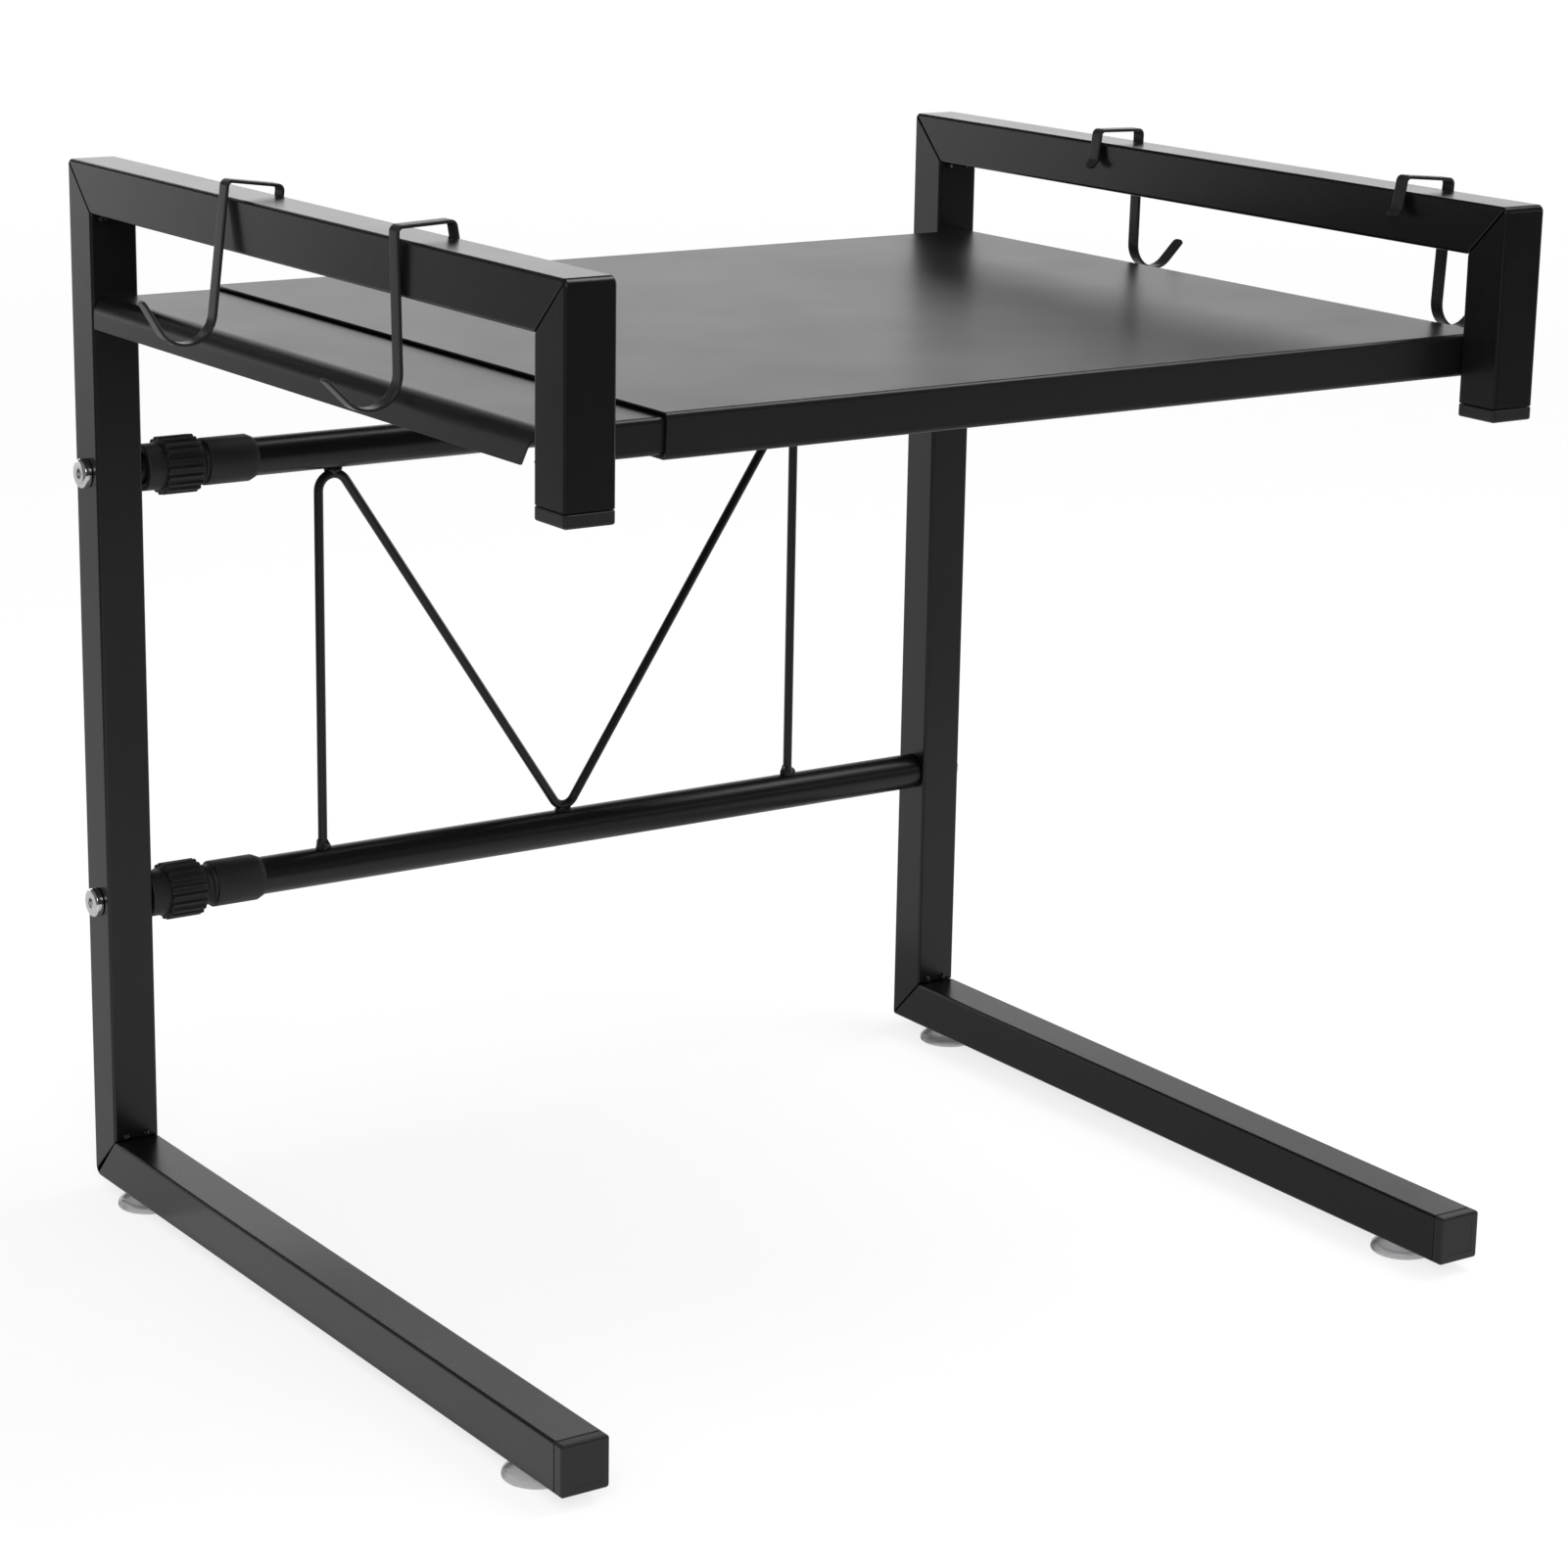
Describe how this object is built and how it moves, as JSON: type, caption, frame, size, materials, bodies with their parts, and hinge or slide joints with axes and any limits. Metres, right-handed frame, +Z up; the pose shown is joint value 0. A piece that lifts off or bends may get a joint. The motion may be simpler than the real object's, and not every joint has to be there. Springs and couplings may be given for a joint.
{
  "type": "microwave rack",
  "caption": "Black steel rack that stands over a microwave: square-tube side frames carry a sheet shelf that telescopes in width, with twist-lock rear rails, wire truss, hooks and suction feet.",
  "frame": {"origin": "on the floor, under the middle of the rack pushed together", "axes": "+X to the right across the width, -Y to the open front, +Z up"},
  "size_m": [0.4934, 0.382, 0.4385],
  "materials": {
    "powder_coat": "fine-textured satin black powder coat on steel",
    "black_plastic": "moulded black plastic, satin",
    "black_strip": "satin black paint on bent steel strip",
    "chrome": "bright plated steel",
    "zinc": "zinc-plated steel",
    "white_plastic": "natural moulded plastic",
    "clear_plastic": "clear soft plastic, glossy"
  },
  "bodies": {
    "right_side": {"right_foot_rail": "powder_coat", "right_rear_post": "powder_coat", "right_top_rail": "powder_coat", "right_drop_post": "powder_coat", "right_foot_cap": "black_plastic", "right_drop_cap": "black_plastic", "right_front_foot": "clear_plastic", "right_rear_foot": "clear_plastic", "right_shelf_tray": "powder_coat", "lower_outer_tube": "powder_coat", "upper_outer_tube": "powder_coat", "lower_lock_sleeve": "black_plastic", "upper_lock_sleeve": "black_plastic", "lower_right_insert": "zinc", "upper_right_insert": "zinc", "lower_right_screw": "chrome", "upper_right_screw": "chrome", "wire_truss": "powder_coat"},
    "left_side": {"left_foot_rail": "powder_coat", "left_rear_post": "powder_coat", "left_top_rail": "powder_coat", "left_drop_post": "powder_coat", "left_foot_cap": "black_plastic", "left_drop_cap": "black_plastic", "left_front_foot": "clear_plastic", "left_rear_foot": "clear_plastic", "left_shelf_tray": "powder_coat", "lower_inner_tube": "powder_coat", "upper_inner_tube": "powder_coat", "lower_guide_bush": "white_plastic", "upper_guide_bush": "white_plastic", "lower_left_insert": "zinc", "upper_left_insert": "zinc", "lower_left_screw": "chrome", "upper_left_screw": "chrome"},
    "lower_clamp": {"lower_clamp_ring": "white_plastic"},
    "upper_clamp": {"upper_clamp_ring": "white_plastic"},
    "lower_nut": {"lower_lock_nut": "black_plastic"},
    "upper_nut": {"upper_lock_nut": "black_plastic"},
    "left_rear_hook": {"left_rear_hook": "black_strip"},
    "left_front_hook": {"left_front_hook": "black_strip"},
    "right_rear_hook": {"right_rear_hook": "black_strip"},
    "right_front_hook": {"right_front_hook": "black_strip"}
  },
  "joints": [
    {"name": "width_slide", "type": "slide", "parent": "right_side", "child": "left_side", "axis": [-1, 0, 0], "range_m": [0, 0.2]},
    {"name": "lower_clamp_slide", "type": "slide", "parent": "right_side", "child": "lower_clamp", "axis": [-1, 0, 0], "range_m": [-0.0025, 0]},
    {"name": "upper_clamp_slide", "type": "slide", "parent": "right_side", "child": "upper_clamp", "axis": [-1, 0, 0], "range_m": [0, 0.0025]},
    {"name": "lower_lock_turn", "type": "hinge", "parent": "lower_clamp", "child": "lower_nut", "pos_m": [-0.181, 0.18, 0.128], "axis": [-1, 0, 0], "range_deg": [-360, 0]},
    {"name": "upper_lock_turn", "type": "hinge", "parent": "upper_clamp", "child": "upper_nut", "pos_m": [-0.181, 0.18, 0.308], "axis": [-1, 0, 0], "range_deg": [0, 360]},
    {"name": "left_rear_hook_slide", "type": "slide", "parent": "left_side", "child": "left_rear_hook", "axis": [0, 1, 0], "range_m": [-0.058, 0.122]},
    {"name": "left_front_hook_slide", "type": "slide", "parent": "left_side", "child": "left_front_hook", "axis": [0, 1, 0], "range_m": [-0.092, 0.06]},
    {"name": "right_rear_hook_slide", "type": "slide", "parent": "right_side", "child": "right_rear_hook", "axis": [0, 1, 0], "range_m": [-0.065, 0.115]},
    {"name": "right_front_hook_slide", "type": "slide", "parent": "right_side", "child": "right_front_hook", "axis": [0, 1, 0], "range_m": [-0.039, 0.113]}
  ],
  "couplings": [
    {"joint": "lower_clamp_slide", "follows": "lower_lock_turn", "m_per_rad": 0.0003978},
    {"joint": "upper_clamp_slide", "follows": "upper_lock_turn", "m_per_rad": 0.0003978}
  ]
}
